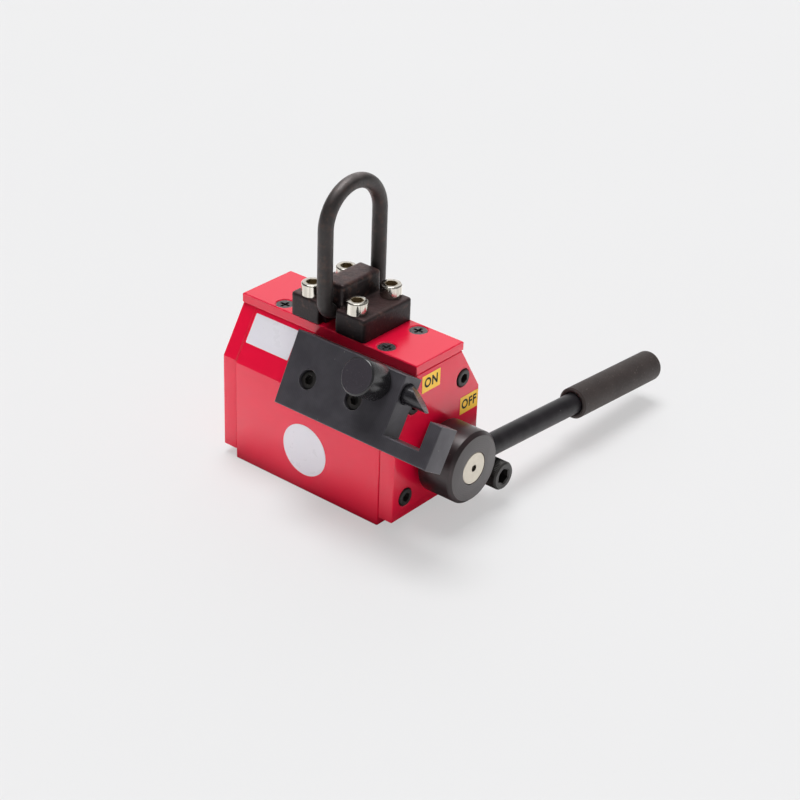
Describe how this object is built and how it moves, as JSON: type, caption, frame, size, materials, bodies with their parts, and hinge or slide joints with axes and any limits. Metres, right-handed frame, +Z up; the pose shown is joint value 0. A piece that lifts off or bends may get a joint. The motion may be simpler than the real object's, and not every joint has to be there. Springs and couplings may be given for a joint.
{
  "type": "permanent magnetic lifter",
  "caption": "Permanent magnetic lifter: red steel body with a turning magnet core, swing lever, sprung latch bolt that locks it on, and a lifting ring in a bolted saddle.",
  "frame": {"origin": "middle of the holding face under the poles", "axes": "+X along the body towards the lever, +Y to the rear where the lever lies when off, +Z up"},
  "size_m": [0.1608, 0.2429, 0.1778],
  "materials": {
    "red_paint": "semi-gloss red enamel over machined steel",
    "burnished_steel": "milled and turned steel, blackened and oiled",
    "forged_steel": "forged and bent bar with a dull black scale",
    "black_screws": "black oxide",
    "stainless_screws": "bright stainless steel",
    "bright_steel": "turned bright steel",
    "magnet_plating": "nickel plated magnet",
    "pole_brass": "ground flush with the poles",
    "bearing_bronze": "turned bearing bronze",
    "grip_rubber": "matt black moulded rubber"
  },
  "bodies": {
    "housing": {"front_pole": "red_paint", "rear_pole": "red_paint", "left_end_plate": "red_paint", "right_end_plate": "red_paint", "top_plate": "red_paint", "latch_block": "burnished_steel", "saddle_block": "forged_steel", "left_end_screws": "black_screws", "right_end_screws": "black_screws", "top_plate_screws": "black_screws", "latch_block_screws": "black_screws", "lever_stop_screw": "black_screws", "saddle_screws": "stainless_screws", "latch_spring": "bright_steel", "stator_magnet": "magnet_plating", "pole_spacer": "pole_brass", "left_bush": "bearing_bronze", "right_bush": "bearing_bronze"},
    "lever": {"front_rotor_core": "bright_steel", "rear_rotor_core": "bright_steel", "rotor_magnet": "magnet_plating", "left_journal": "bright_steel", "drive_shaft": "bright_steel", "rotor_screws": "bright_steel", "lever_hub": "burnished_steel", "lever_rod": "burnished_steel", "lever_grip": "grip_rubber"},
    "latch": {"latch_bolt": "burnished_steel", "latch_knob": "burnished_steel"},
    "ring": {"lifting_ring": "forged_steel"}
  },
  "joints": [
    {"name": "lever_turn", "type": "hinge", "parent": "housing", "child": "lever", "pos_m": [0.0777, 0, 0.035], "axis": [1, 0, 0], "range_deg": [0, 141.5]},
    {"name": "latch_slide", "type": "slide", "parent": "housing", "child": "latch", "axis": [-1, 0, 0], "range_m": [0, 0.014], "deforming": ["latch_spring"]},
    {"name": "ring_tilt", "type": "hinge", "parent": "housing", "child": "ring", "pos_m": [0, 0, 0.1039], "axis": [0, 1, 0], "range_deg": [-28, 28]}
  ],
  "couplings": [
    {"joint": "latch_slide", "follows": "lever_turn", "m_per_rad": 0.005668}
  ]
}
